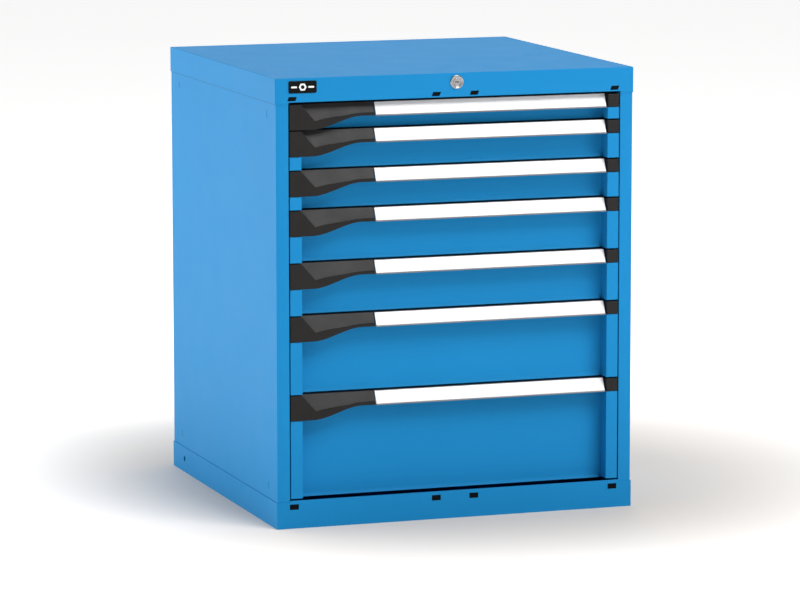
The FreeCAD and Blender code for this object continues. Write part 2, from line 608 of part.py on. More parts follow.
def lock_plug():
    face = FACE_Y - LOCK_FLANGE + LOCK_FACE_DROP
    plug = cylinder_y(0, LOCK_Z, LOCK_PLUG_RADIUS, face, rod_start())
    keyhole = box(-KEYHOLE_WIDTH / 2, KEYHOLE_WIDTH / 2, face - 1, face + KEYHOLE_DEPTH,
                  LOCK_Z - KEYHOLE_HEIGHT / 2, LOCK_Z + KEYHOLE_HEIGHT / 2)
    return plug.cut(keyhole)


def rod_start():
    return FACE_Y + LOCK_BARREL_LENGTH + ROD_TO_BARREL


def crank_pin_place():
    return CRANK_RADIUS * math.cos(CRANK_REST), LOCK_Z + CRANK_RADIUS * math.sin(CRANK_REST)


def lock_rod():
    rod = cylinder_y(0, LOCK_Z, ROD_RADIUS, rod_start(), DISC_Y0)
    disc = cylinder_y(0, LOCK_Z, CRANK_DISC_RADIUS, DISC_Y0, DISC_Y0 + CRANK_DISC)
    x, z = crank_pin_place()
    pin = cylinder_y(x, z, CRANK_PIN_RADIUS, DISC_Y0 + CRANK_DISC, BAR_Y1 + PIN_PAST_BAR)
    return joined([rod, disc, pin])


def lock_bar():
    """Comb-shaped bar with one tooth a drawer, moved down by the crank pin in its slot."""
    x0 = -BAR_HALF_WIDTH
    stem = box(x0, x0 + BAR_STEM, BAR_Y0, BAR_Y1, BASE_HEIGHT - BAR_END_DROP,
               LOCK_Z + CRANK_DISC_RADIUS)
    head = box(x0, BAR_HALF_WIDTH, BAR_Y0, BAR_Y1, LOCK_Z - BAR_HEAD_REACH,
               LOCK_Z + CRANK_DISC_RADIUS)
    teeth = []
    for z0, _ in modules():
        low = z0 + TONGUE_RISE + TONGUE_SHEET + TONGUE_LIP + TOOTH_CLEARANCE
        teeth.append(box(x0 + BAR_STEM, x0 + BAR_STEM + TONGUE_WIDTH, BAR_Y0, BAR_Y1,
                         low, low + TOOTH_HEIGHT))
    room = CRANK_PIN_RADIUS + CRANK_PIN_CLEARANCE
    pin_x, pin_z = crank_pin_place()
    slot = box(pin_x - room - 1, CRANK_RADIUS + room + 1, BAR_Y0 - 1, BAR_Y1 + 1,
               pin_z - room, pin_z + room)
    return joined([stem, head] + teeth).cut(slot)


def bar_guide(z):
    """Bracket from the rear panel that wraps the lock bar's stem."""
    c = GUIDE_CLEARANCE
    t = GUIDE_SHEET
    x0 = -BAR_HALF_WIDTH - c
    x1 = -BAR_HALF_WIDTH + BAR_STEM + c
    block = box(x0 - t, x1 + t, BAR_Y0 - c - t, REAR_PANEL_Y, z, z + GUIDE_HEIGHT)
    window = box(x0, x1, BAR_Y0 - c, BAR_Y1 + c, z - 1, z + GUIDE_HEIGHT + 1)
    relief = box(x0, x1, BAR_Y1 + c + t, REAR_PANEL_Y - t, z - 1, z + GUIDE_HEIGHT + 1)
    return block.cut([window, relief])


def rod_hanger():
    y1 = DISC_Y0 - HANGER_GAP
    y0 = y1 - HANGER_SHEET
    plate = box(-BAR_HALF_WIDTH, BAR_HALF_WIDTH, y0, y1, LOCK_Z - CRANK_DISC_RADIUS, COVER_UNDER)
    return plate.cut(cylinder_y(0, LOCK_Z, ROD_RADIUS + LOCK_PLUG_CLEARANCE, y0 - 1, y1 + 1))


# ---------------------------------------------------------------- badge
def name_plate():
    x0 = -OPENING
    z0 = HEIGHT - BADGE_DROP - BADGE_HEIGHT
    plate = box(x0, x0 + BADGE_WIDTH, FACE_Y - BADGE_THICKNESS, FACE_Y, z0, z0 + BADGE_HEIGHT)
    edges = [e for e in plate.Edges if e.BoundBox.YLength > BADGE_THICKNESS - 0.01]
    return plate.makeFillet(BADGE_CORNER, edges)


def modules():
    """Bottom and top of each drawer module, the highest drawer first."""
    places = []
    top = MODULES_TOP
    for front_height in FRONT_HEIGHTS:
        places.append((top - front_height, top))
        top -= front_height
    return places


# ---------------------------------------------------------------- build
right_panel = side_panel()
save("side_panel_right", right_panel)
save("side_panel_left", mirrored(right_panel))
save("rear_panel", rear_panel())
save("top_cover", top_cover())
save("cover_stiffeners", cover_stiffener(-STIFFENER_SPREAD), cover_stiffener(STIFFENER_SPREAD))
save("base_frame", base_frame())
save("foot_strips", *foot_strips())
save("rear_screws", *rear_screws())
save("slot_plugs", *slot_plugs())
save("name_plate", name_plate())

posts = [rack_post(FACE_Y + POST_INSET), rack_post(REAR_Y - POST_INSET)]
save("rack_posts", *posts, *[mirrored(p) for p in posts])

rail_heights = [z0 + RAIL_RISE for z0, _ in modules()]
channels = [cabinet_channel(z) for z in rail_heights]
save("cabinet_rails", *channels, *[mirrored(c) for c in channels])

for number, (z0, z1) in enumerate(modules(), start=1):
    name = "drawer_%d_" % number
    rail = z0 + RAIL_RISE
    save(name + "tray", tray(z0, z1))
    save(name + "handle", handle(z1))
    save(name + "grip", grip(z1), end_cap(z1))
    save(name + "runners", drawer_channel(rail), mirrored(drawer_channel(rail)))
    save(name + "carriage", carriage(rail), mirrored(carriage(rail)))

save("lock_housing", lock_housing())
save("lock_nut", lock_nut())
save("lock_plug", lock_plug())
save("lock_rod", lock_rod())
save("lock_bar", lock_bar())
upper_guide = LOCK_Z - BAR_HEAD_REACH - BAR_TRAVEL - GUIDE_TO_HEAD - GUIDE_HEIGHT
save("lock_guides", bar_guide(BASE_SIDE_RISE), bar_guide(upper_guide), rod_hanger())

print("height %.1f travel %.1f bar travel %.3f" % (HEIGHT, DRAWER_TRAVEL, BAR_TRAVEL))
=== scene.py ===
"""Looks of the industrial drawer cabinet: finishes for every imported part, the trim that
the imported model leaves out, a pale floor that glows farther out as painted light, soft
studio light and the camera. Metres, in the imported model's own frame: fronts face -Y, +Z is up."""

import json
import math
import random

import bmesh
import bpy
from mathutils import Matrix, Vector


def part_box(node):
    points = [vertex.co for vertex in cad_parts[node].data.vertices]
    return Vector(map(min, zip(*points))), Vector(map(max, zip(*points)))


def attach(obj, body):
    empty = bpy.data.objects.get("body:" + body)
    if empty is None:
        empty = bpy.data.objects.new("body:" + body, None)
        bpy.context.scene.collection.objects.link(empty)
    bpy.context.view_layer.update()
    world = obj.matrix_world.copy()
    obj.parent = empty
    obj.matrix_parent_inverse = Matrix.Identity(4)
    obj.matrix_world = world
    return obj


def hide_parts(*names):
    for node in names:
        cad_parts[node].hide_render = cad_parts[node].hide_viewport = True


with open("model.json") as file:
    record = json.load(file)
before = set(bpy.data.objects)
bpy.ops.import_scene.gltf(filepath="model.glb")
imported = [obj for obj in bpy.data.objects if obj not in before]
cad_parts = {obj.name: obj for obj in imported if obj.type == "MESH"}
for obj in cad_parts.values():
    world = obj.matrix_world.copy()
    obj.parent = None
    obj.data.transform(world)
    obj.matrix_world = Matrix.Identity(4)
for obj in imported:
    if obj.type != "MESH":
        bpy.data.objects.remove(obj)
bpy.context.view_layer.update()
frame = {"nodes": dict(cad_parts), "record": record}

MM = 0.001
NODES = frame["nodes"]
DRAWERS = sorted({int(n.split("_")[1]) for n in NODES if n.startswith("drawer_")})
SLOT_OF = {s["node"]: s["material_slot"] for s in frame["record"]["subparts"]}
draw = random.Random(7)

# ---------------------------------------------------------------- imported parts' own sizes
HANDLE_LIP = 2.2 * MM            # height of the handle's lip, below the label
HANDLE_LIP_DEPTH = 2.2 * MM
HANDLE_FACE_RUN = 11.5 * MM      # how far the label face leans back over its height
RUNNER_WIDTH = 11.2 * MM
CATCH_REACH = 19.0 * MM          # the lock catch stands this far behind the tray
PANEL_ABOVE_RIM = 2.6 * MM
TRAY_WALL = 1.25 * MM
COVER_SKIRT = 49.5 * MM
SIDE_INSET = 1.5 * MM            # the side panels stand this far inside the cover

# ---------------------------------------------------------------- sizes of the added trim
LABEL_THICKNESS = 0.7 * MM
LABEL_SIDE_MARGIN = 0.4 * MM
LABEL_TOP_MARGIN = 0.5 * MM
LABEL_CORNER = 1.2 * MM
LABEL_GAP = 0.05 * MM            # between the card's back and the handle's face
LABEL_CROWN = 0.15 * MM          # the card's middle stands this far above its edge
LABEL_EDGE = 0.5 * MM            # width of the slope round the card's face

LOCK_FLANGE = 2.5 * MM           # thickness
LOCK_FLANGE_STEP = 3.5 * MM      # the flange's radius over the barrel's
LOCK_BORE_GAP = 0.05 * MM
THREADS = 16
THREAD_PITCH = 1.5 * MM
THREAD_DEPTH = 0.5 * MM

BADGE_MARGIN = 0.5 * MM          # of plain plate outside the rim
BADGE_RIM = 1.2 * MM             # width
BADGE_CORNER = 2.5 * MM          # outer radius of the rim's corners
BADGE_INNER_CORNER = 1.5 * MM
BADGE_RELIEF = 0.45 * MM         # emblem above the badge's face
BADGE_EDGE = 0.15 * MM           # bevel of the emblem, and the rim's height below it
BADGE_ROOT = 0.1 * MM            # rim and emblem reach this far into the plate
NUT_RADIUS = 0.33                # shares of the badge's height
NUT_HOLE = 0.16
BAR_HALF = 0.075
BAR_START = 0.20                 # shares of the badge's width, from its middle
BAR_END = 0.41

SCREW_RADIUS = 5.0 * MM
SCREW_RISE = 2.5 * MM
SCREW_STEPS = 28
SCREWS_A_ROW = 4
RECESS_ARM = 0.42                # shares of the screw's radius
RECESS_HALF = 0.11
RECESS_TAPER = 0.8               # the recess's floor against its mouth

RIB_SPACING = 220 * MM
RIB_HALF = 14 * MM
RIB_RISE = 2.2 * MM
RIB_FOOT_GAP = 75 * MM           # to the rear panel's lower edge
RIB_TOP_GAP = 105 * MM
RIB_ROOT = 0.2 * MM              # the rib reaches this far into the panel

# thin dark strip under the cover's skirt: painted shadow where the skirt shades the side panels
SHADOW_STRIP_FRONT_GAP = 2.0 * MM
SHADOW_STRIP_BACK_GAP = 3.2 * MM
SHADOW_STRIP_OVERLAP = 1.0 * MM          # the shadow strip's top stands this far up behind the skirt

HEM_WIDTH = 3.2 * MM
HEM_DROP = 5.0 * MM
HEM_GAUGE = 1.0 * MM
HEM_SOFTNESS = 0.25 * MM

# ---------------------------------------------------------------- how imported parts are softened
WELD_GAP = 0.002 * MM
FLAT_ANGLE = 0.8                 # degrees between faces that count as one
FOLD_ANGLE = 32                  # degrees from which an edge is rounded
EDGE_WIDTH = {"top_cover": 0.5 * MM, "base_frame": 0.15 * MM, "side_panel_left": 0.3 * MM,
              "side_panel_right": 0.3 * MM}
GRIP_EDGE_WIDTH = 0.9 * MM
OTHER_EDGE_WIDTH = 0.4 * MM

# ---------------------------------------------------------------- linear colours
PAINT = (0.010, 0.238, 0.545)
PAINT_WORN = (0.030, 0.330, 0.640)
GRIP_BLACK = (0.009, 0.008, 0.0075)
GRIP_BLACK_WORN = (0.028, 0.026, 0.025)
# lighter copy of the grip's black for its facets that look forward and up: painted light
GRIP_FACET_PAINTED_LIT = (0.025, 0.0235, 0.0235)
GRIP_FACET_PAINTED_LIT_WORN = (0.062, 0.059, 0.058)
# the plugs' own black, made darker and bluish to carry the shade of the slots: partly painted
# shade
PLUG_BLACK_AND_SLOT_SHADE = (0.002, 0.003, 0.004)
PLUG_BLACK_AND_SLOT_SHADE_WORN = (0.006, 0.007, 0.009)
BADGE_BLACK = (0.003, 0.003, 0.0035)
BADGE_BLACK_WORN = (0.012, 0.012, 0.012)
ALUMINIUM = (0.27, 0.28, 0.29)
ZINC = (0.60, 0.61, 0.64)
CHROME_DARK = (0.40, 0.39, 0.395)
CHROME_LIGHT = (0.52, 0.51, 0.515)
CARD_DARK = (0.86, 0.855, 0.85)
CARD_LIGHT = (0.89, 0.885, 0.88)
# floor tint: warmer near the cabinet, painted against the blue light that the cabinet bounces
# onto it
FLOOR_NEAR_AGAINST_BOUNCE = (0.735, 0.680, 0.625)
FLOOR_FAR = (0.69, 0.685, 0.68)
WHITE = (1, 1, 1, 1)

# ---------------------------------------------------------------- camera, floor and light
CAMERA_PLACE = (-2.7824, -8.1304, 1.6439)
CAMERA_YAW = 18.940              # degrees, turned right from +Y
CAMERA_PITCH = 8.425             # degrees, looking down
CAMERA_ROLL = -0.056
CAMERA_LENS = 198.060            # millimetres
CAMERA_SENSOR = 36.0             # width, millimetres
CAMERA_NEAREST = 0.5
CAMERA_FARTHEST = 200.0

# the floor glows farther from the cabinet: painted light where the lamps' light falls off
FLOOR_HALF = 60.0                # from the middle to each edge
SHADE_CENTRE = (0.16, 0.02)      # of the shaded ground round the cabinet
SHADE_INNER = 0.38               # radius inside which the floor only reflects
SHADE_OUTER = 1.35               # radius from which it glows in full
FRONT_DIM_FROM = -1.3            # the glow weakens from this Y towards the front
FRONT_DIM_TO = -3.6
FRONT_DIM = 0.6                  # share of the glow that is left there
FLOOR_PAINTED_GLOW = 0.80

HORIZON_GLOW = 0.62              # strength of the surroundings at the horizon
SKY_GLOW = 0.13                  # and overhead
GLOW_LOW = 0.02                  # Z of the direction at which the glow starts to fade
GLOW_HIGH = 0.2                  # and at which it has faded

# name, place, target, width, height, watts
SOFTBOXES = (
    ("front_top", (2.2, -5.0, 7.4), (0, 0, 0.4), 4.4, 4.4, 560),
    ("right_key", (1.8, -1.8, 1.0), (0.3, -0.3, 0.45), 1.0, 1.0, 10),
    ("overhead", (0.0, 0.6, 4.5), (0, 0.1, 0.5), 2.5, 2.0, 66),
    ("left_back", (-4.0, 3.2, 0.8), (-0.2, 0.2, 0.3), 2.4, 1.2, 100),
    ("left_low", (-1.9, -0.1, 0.45), (-0.36, 0.1, 0.1), 1.2, 0.6, 6.0),
    ("backdrop", (0.6, 6.5, 2.4), (0, 0, 1.0), 6.0, 2.8, 52),
)


# ---------------------------------------------------------------- shader helpers
def new_material(name):
    """A node material: itself, its node tree and its shader."""
    material = bpy.data.materials.new(name)
    material.use_nodes = True
    tree = material.node_tree
    return material, tree, tree.nodes["Principled BSDF"]


def node(tree, kind, inputs=(), **settings):
    """Adds a shader node. inputs holds (socket, value or linked output) pairs."""
    made = tree.nodes.new(kind)
    for key, value in settings.items():
        setattr(made, key, value)
    for socket, value in inputs:
        if isinstance(value, bpy.types.NodeSocket):
            tree.links.new(value, made.inputs[socket])
        else:
            made.inputs[socket].default_value = value
    return made


def link(tree, output, target):
    """Joins an output to the socket target."""
    tree.links.new(output, target)


def object_space(tree, stretch=(1, 1, 1)):
    """Object coordinates in metres, scaled along each axis."""
    place = node(tree, "ShaderNodeTexCoord")
    scaled = node(tree, "ShaderNodeMapping", [("Vector", place.outputs["Object"]),
                                              ("Scale", stretch)])
    return scaled.outputs["Vector"]


def noise(tree, where, scale, detail=2.0, rough=0.5):
    """Fractal noise; scale is cells a metre."""
    made = node(tree, "ShaderNodeTexNoise", [("Vector", where), ("Scale", scale),
                                             ("Detail", detail), ("Roughness", rough)])
    return made.outputs["Fac"]


def spread(tree, value, low, high, in_low=0.3, in_high=0.7):
    """Maps a noise value to the range low..high."""
    made = node(tree, "ShaderNodeMapRange", [("Value", value), ("From Min", in_low),
                                             ("From Max", in_high), ("To Min", low),
                                             ("To Max", high)])
    return made.outputs["Result"]


def opaque(colour):
    """Adds the alpha that a colour socket needs; a linked output stays as it is."""
    return (*colour, 1) if isinstance(colour, tuple) else colour


def mixed_colour(tree, share, first, second):
    """Blend of two colours; share is how much of the second."""
    made = node(tree, "ShaderNodeMix", [(0, share), (6, opaque(first)), (7, opaque(second))],
                data_type="RGBA")
    return made.outputs[2]


def times(tree, first, second):
    """Product of two values."""
    made = node(tree, "ShaderNodeMath", [(0, first), (1, second)], operation="MULTIPLY")
    return made.outputs[0]


def bumped(tree, shader, height, strength, distance):
    """Gives a shader the relief that height describes."""
    made = node(tree, "ShaderNodeBump", [("Height", height), ("Strength", strength),
                                         ("Distance", distance)])
    link(tree, made.outputs["Normal"], shader.inputs["Normal"])


def edge_mask(tree, radius, gain):
    """1 at convex and concave edges, 0 on flat faces."""
    rounded = node(tree, "ShaderNodeBevel", [("Radius", radius)], samples=4)
    flat = node(tree, "ShaderNodeNewGeometry")
    dot = node(tree, "ShaderNodeVectorMath", [(0, rounded.outputs["Normal"]),
                                              (1, flat.outputs["Normal"])],
               operation="DOT_PRODUCT")
    turned = node(tree, "ShaderNodeMath", [(0, 1.0), (1, dot.outputs["Value"])],
                  operation="SUBTRACT")
    return node(tree, "ShaderNodeMath", [(0, turned.outputs[0]), (1, gain)],
                operation="MULTIPLY", use_clamp=True).outputs[0]


# ---------------------------------------------------------------- finishes
def powder_coat(name):
    """Satin blue powder coat: fine orange peel, slight mottling, thin paint on folds."""
    material, tree, shader = new_material(name)
    where = object_space(tree)
    mottle = noise(tree, where, scale=5.0, detail=3.0)
    deep = tuple(0.98 * c for c in PAINT)
    colour = mixed_colour(tree, spread(tree, mottle, 0.0, 1.0), deep, PAINT)
    scuffs = spread(tree, noise(tree, where, scale=60.0, detail=4.0, rough=0.7), 0.25, 1.0,
                    in_low=0.4, in_high=0.65)
    worn = times(tree, edge_mask(tree, radius=0.6 * MM, gain=1.4), scuffs)
    link(tree, mixed_colour(tree, worn, colour, PAINT_WORN), shader.inputs["Base Color"])
    rough = spread(tree, noise(tree, where, scale=14.0, detail=4.0), 0.50, 0.54)
    link(tree, rough, shader.inputs["Roughness"])
    shader.inputs["Specular IOR Level"].default_value = 0.09
    bumped(tree, shader, noise(tree, where, scale=900.0, detail=2.0, rough=0.6),
           strength=0.10, distance=0.15 * MM)
    return material


def moulded_plastic(name, colour, pale, rough, grain, depth, shine=0.25):
    """Spark-textured moulding that goes pale along its edges. rough is (least, most), grain
    the texture's cells a metre and depth its height."""
    material, tree, shader = new_material(name)
    where = object_space(tree)
    cloud = spread(tree, noise(tree, where, scale=25.0, detail=3.0), 0.0, 1.0)
    tone = mixed_colour(tree, cloud, colour, tuple(1.25 * c for c in colour))
    edges = times(tree, edge_mask(tree, radius=0.8 * MM, gain=1.6),
                  spread(tree, noise(tree, where, scale=120.0, detail=3.0), 0.2, 0.9))
    link(tree, mixed_colour(tree, edges, tone, pale), shader.inputs["Base Color"])
    link(tree, spread(tree, noise(tree, where, scale=40.0, detail=3.0), *rough),
         shader.inputs["Roughness"])
    shader.inputs["Specular IOR Level"].default_value = shine
    bumped(tree, shader, noise(tree, where, scale=grain, detail=2.0, rough=0.7),
           strength=0.35, distance=depth)
    return material


def drawn_metal(name, colour, rough, stretch):
    """Zinc-plated or drawn metal, with fine lines along the axis that stretch keeps small."""
    material, tree, shader = new_material(name)
    where = object_space(tree)
    lines = noise(tree, object_space(tree, stretch), scale=40.0, detail=4.0, rough=0.6)
    cloud = noise(tree, where, scale=18.0, detail=4.0, rough=0.6)
    tone = mixed_colour(tree, spread(tree, cloud, 0.0, 1.0), tuple(0.82 * c for c in colour),
                        colour)
    worn = edge_mask(tree, radius=0.6 * MM, gain=1.5)
    link(tree, mixed_colour(tree, worn, tone, tuple(min(1.0, 1.25 * c) for c in colour)),
         shader.inputs["Base Color"])
    shader.inputs["Metallic"].default_value = 1.0
    link(tree, spread(tree, lines, *rough), shader.inputs["Roughness"])
    bumped(tree, shader, lines, strength=0.12, distance=0.05 * MM)
    return material


def label_card(name):
    """White label strip under a clear film: faint paper tooth and a satin cover."""
    material, tree, shader = new_material(name)
    where = object_space(tree)
    tone = spread(tree, noise(tree, where, scale=30.0, detail=3.0), 0.0, 1.0)
    link(tree, mixed_colour(tree, tone, CARD_DARK, CARD_LIGHT),
         shader.inputs["Base Color"])
    link(tree, spread(tree, noise(tree, where, scale=90.0, detail=2.0), 0.30, 0.40),
         shader.inputs["Roughness"])
    shader.inputs["Coat Weight"].default_value = 0.3
    shader.inputs["Coat Roughness"].default_value = 0.15
    bumped(tree, shader, noise(tree, where, scale=700.0, detail=2.0),
           strength=0.05, distance=0.05 * MM)
    return material


def polished_chrome(name):
    """Chrome plate, a little cloudy from handling."""
    material, tree, shader = new_material(name)
    where = object_space(tree)
    tone = spread(tree, noise(tree, where, scale=200.0, detail=3.0), 0.0, 1.0)
    link(tree, mixed_colour(tree, tone, CHROME_DARK, CHROME_LIGHT),
         shader.inputs["Base Color"])
    shader.inputs["Metallic"].default_value = 1.0
    link(tree, spread(tree, noise(tree, where, scale=500.0, detail=3.0), 0.16, 0.28),
         shader.inputs["Roughness"])
    bumped(tree, shader, noise(tree, where, scale=2500.0, detail=2.0),
           strength=0.05, distance=0.02 * MM)
    return material


def studio_floor(name):
    """Pale ground with painted light: it only reflects round the cabinet and glows white farther
    out, where lamp light falls off; near the cabinet it is tinted warm against the cabinet's blue
    bounce light.
    """
    material, tree, shader = new_material(name)
    where = object_space(tree)
    shifted = node(tree, "ShaderNodeVectorMath",
                   [(0, where), (1, (-SHADE_CENTRE[0], -SHADE_CENTRE[1], 0))], operation="ADD")
    reach = node(tree, "ShaderNodeVectorMath", [(0, shifted.outputs["Vector"])],
                 operation="LENGTH")
    far = node(tree, "ShaderNodeMapRange", [("Value", reach.outputs["Value"]),
                                            ("From Min", SHADE_INNER),
                                            ("From Max", SHADE_OUTER)],
               interpolation_type="SMOOTHSTEP").outputs["Result"]
    tone = spread(tree, noise(tree, where, scale=1.5, detail=2.0), 0.98, 1.0)
    # warm near the cabinet to cancel its blue bounce light: painted
    tint_against_bounce = mixed_colour(tree, far, FLOOR_NEAR_AGAINST_BOUNCE, FLOOR_FAR)
    uneven = node(tree, "ShaderNodeVectorMath", [(0, tint_against_bounce), ("Scale", tone)], operation="SCALE")
    link(tree, uneven.outputs["Vector"], shader.inputs["Base Color"])
    shader.inputs["Roughness"].default_value = 0.75
    shader.inputs["Specular IOR Level"].default_value = 0.2
    shader.inputs["Emission Color"].default_value = WHITE
    split = node(tree, "ShaderNodeSeparateXYZ", [("Vector", where)])
    ahead = node(tree, "ShaderNodeMapRange", [("Value", split.outputs["Y"]),
                                              ("From Min", FRONT_DIM_TO),
                                              ("From Max", FRONT_DIM_FROM),
                                              ("To Min", FRONT_DIM)],
                 interpolation_type="SMOOTHSTEP").outputs["Result"]
    # painted light: emission that whitens the floor away from the cabinet
    glow = times(tree, times(tree, far, ahead), FLOOR_PAINTED_GLOW)
    link(tree, glow, shader.inputs["Emission Strength"])
    return material


FINISH = {
    "housing_paint": powder_coat("housing_paint_finish"),
    "drawer_paint": powder_coat("drawer_paint_finish"),
    "grip_black": moulded_plastic("grip_black_finish", GRIP_BLACK, GRIP_BLACK_WORN,
                                  rough=(0.46, 0.58), grain=2200.0, depth=0.06 * MM),
    "handle_profile": drawn_metal("handle_profile_finish", ALUMINIUM, rough=(0.34, 0.48),
                                  stretch=(0.6, 40, 40)),
    "label_white": label_card("label_white_finish"),
    "rail_steel": drawn_metal("rail_steel_finish", ZINC, rough=(0.26, 0.44),
                              stretch=(40, 0.6, 40)),
    "lock_chrome": polished_chrome("lock_chrome_finish"),
    # plug finish: black plastic plus painted shade of the slots; it also colours the painted
    # shadow strip under the cover
    "plug_black": moulded_plastic("plug_black_and_slot_shade_finish", PLUG_BLACK_AND_SLOT_SHADE, PLUG_BLACK_AND_SLOT_SHADE_WORN,
                                  rough=(0.6, 0.8), grain=1500.0, depth=0.05 * MM, shine=0.08),
    "badge_black": moulded_plastic("badge_black_finish", BADGE_BLACK, BADGE_BLACK_WORN,
                                   rough=(0.24, 0.34), grain=600.0, depth=0.02 * MM,
                                   shine=0.12),
}
# painted light: the lighter copy of the grip's black that its forward and upward facets take
GRIP_FACET_PAINTED_LIT_FINISH = moulded_plastic("grip_face_painted_lit_finish", GRIP_FACET_PAINTED_LIT, GRIP_FACET_PAINTED_LIT_WORN,
                                    rough=(0.40, 0.50), grain=2200.0, depth=0.06 * MM)


# ---------------------------------------------------------------- rounded edges
def soften(made, width, segments, angle):
    """Rounds the edges sharper than angle degrees and evens out the shading beside them."""
    bevel = made.modifiers.new("folds", "BEVEL")
    bevel.width = width
    bevel.segments = segments
    bevel.limit_method = "ANGLE"
    bevel.angle_limit = math.radians(angle)
    bevel.harden_normals = False
    shading = made.modifiers.new("shading", "WEIGHTED_NORMAL")
    shading.keep_sharp = False


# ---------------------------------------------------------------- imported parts
def dress(name, part):
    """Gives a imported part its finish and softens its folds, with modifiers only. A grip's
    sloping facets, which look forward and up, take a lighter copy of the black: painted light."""
    is_grip = name.endswith("_grip")
    part.data.materials.clear()
    part.data.materials.append(FINISH[SLOT_OF[name]])
    if is_grip:
        part.data.materials.append(GRIP_FACET_PAINTED_LIT_FINISH)
    for face in part.data.polygons:
        # facets that look forward and up take the lighter copy of the black, as painted light
        painted_lit_facet = face.normal.y < -0.5 and face.normal.z > 0.2
        face.material_index = 1 if painted_lit_facet and is_grip else 0
        face.use_smooth = True
    weld = part.modifiers.new("weld", "WELD")
    weld.merge_threshold = WELD_GAP
    flat = part.modifiers.new("flat", "DECIMATE")
    flat.decimate_type = "DISSOLVE"
    flat.angle_limit = math.radians(FLAT_ANGLE)
    width = EDGE_WIDTH.get(name, GRIP_EDGE_WIDTH if is_grip else OTHER_EDGE_WIDTH)
    soften(part, width, 3 if is_grip or name == "top_cover" else 2, FOLD_ANGLE)


for node_name, part in NODES.items():
    dress(node_name, part)


# ---------------------------------------------------------------- mesh helpers
def piece(name, mesh_builder, body, slot_name, smooth=False):
    """Makes an object from a bmesh, gives it its finish and lets it ride on a body."""
    bm = bmesh.new()
    mesh_builder(bm)
    bmesh.ops.recalc_face_normals(bm, faces=bm.faces)
    mesh = bpy.data.meshes.new(name)
    bm.to_mesh(mesh)
    bm.free()
    for face in mesh.polygons:
        face.use_smooth = smooth
    made = bpy.data.objects.new(name, mesh)
    bpy.context.scene.collection.objects.link(made)
    mesh.materials.append(FINISH[slot_name])
    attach(made, body)
    return made


def skin(bm, loops, closed=False):
    """Faces between neighbouring loops of vertices; closed also joins the last to the first."""
    count = len(loops[0])
    for a, b in zip(loops, loops[1:] + loops[:1] if closed else loops[1:]):
        for i in range(count):
            j = (i + 1) % count
            bm.faces.new((a[i], a[j], b[j], b[i]))


def loft(bm, rings):
    """Joins rings of equal point counts into a solid with flat ends."""
    loops = [[bm.verts.new(p) for p in ring] for ring in rings]
    skin(bm, loops)
    bm.faces.new(loops[0][::-1])
    bm.faces.new(loops[-1])


def rounded_outline(x0, x1, z0, z1, radius, steps=5):
    """Corners of a rounded rectangle, as (x, z), anticlockwise."""
    points = []
    corners = ((x1 - radius, z1 - radius, 0), (x0 + radius, z1 - radius, 90),
               (x0 + radius, z0 + radius, 180), (x1 - radius, z0 + radius, 270))
    for cx, cz, start in corners:
        for i in range(steps + 1):
            a = math.radians(start + 90 * i / steps)
            points.append((cx + radius * math.cos(a), cz + radius * math.sin(a)))
    return points


# ---------------------------------------------------------------- label strips
def label_strip(bm, low, high):
    """Thin card on the handle's sloping face, held behind the lower lip."""
    foot_y = low.y + HANDLE_LIP_DEPTH
    foot_z = low.z + HANDLE_LIP
    run = HANDLE_FACE_RUN / (high.z - foot_z)
    x0 = low.x + LABEL_SIDE_MARGIN
    x1 = high.x - LABEL_SIDE_MARGIN
    height = high.z - foot_z - LABEL_TOP_MARGIN
    normal = Vector((0, -1, run)).normalized()
    rings = []
    for lift, inset in ((LABEL_GAP, 0.0), (LABEL_THICKNESS, 0.0),
                        (LABEL_THICKNESS + LABEL_CROWN, LABEL_EDGE)):
        ring = []
        for x, h in rounded_outline(x0 + inset, x1 - inset, inset, height - inset, LABEL_CORNER):
            ring.append(Vector((x, foot_y + h * run, foot_z + h)) + normal * lift)
        rings.append(ring)
    loft(bm, rings)


for n in DRAWERS:
    handle_low, handle_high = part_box("drawer_%d_handle" % n)
    piece("drawer_%d_label" % n, lambda bm: label_strip(bm, handle_low, handle_high),
          "drawer_%d" % n, "label_white")


# ---------------------------------------------------------------- lock face
def lathe(bm, centre, profile, steps=64):
    """Closed ring about the Y axis; profile holds (depth behind the face, radius) pairs."""
    sections = []
    for i in range(steps):
        a = 2 * math.pi * i / steps
        sections.append([bm.verts.new((centre.x + r * math.cos(a), centre.y + depth,
                                       centre.z + r * math.sin(a))) for depth, r in profile])
    skin(bm, sections, closed=True)


lock_low, lock_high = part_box("lock_housing")
lock_centre = Vector(((lock_low.x + lock_high.x) / 2, lock_low.y, (lock_low.z + lock_high.z) / 2))
flange_radius = (lock_high.x - lock_low.x) / 2
plug_low, plug_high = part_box("lock_plug")
bore = (plug_high.x - plug_low.x) / 2 + LOCK_BORE_GAP
barrel = flange_radius - LOCK_FLANGE_STEP
barrel_end = lock_high.y - lock_low.y
LOCK_PROFILE = [(barrel_end, bore), (1.0 * MM, bore), (0.7 * MM, bore + 0.3 * MM),
                (0.7 * MM, bore + 1.4 * MM), (0.35 * MM, bore + 1.8 * MM),
                (0.35 * MM, flange_radius - 2.4 * MM), (0.0, flange_radius - 2.0 * MM),
                (0.0, flange_radius - 1.1 * MM), (0.25 * MM, flange_radius - 0.45 * MM),
                (0.8 * MM, flange_radius), (LOCK_FLANGE, flange_radius), (LOCK_FLANGE, barrel)]
for i in range(THREADS):
    start = LOCK_FLANGE + (i + 0.5) * THREAD_PITCH
    root = barrel - THREAD_DEPTH
    LOCK_PROFILE += [(start, barrel), (start + 0.6 * MM, root), (start + 0.8 * MM, root)]
LOCK_PROFILE += [(barrel_end, barrel)]
lock_face = piece("lock_face", lambda bm: lathe(bm, lock_centre, LOCK_PROFILE), "housing",
                  "lock_chrome")
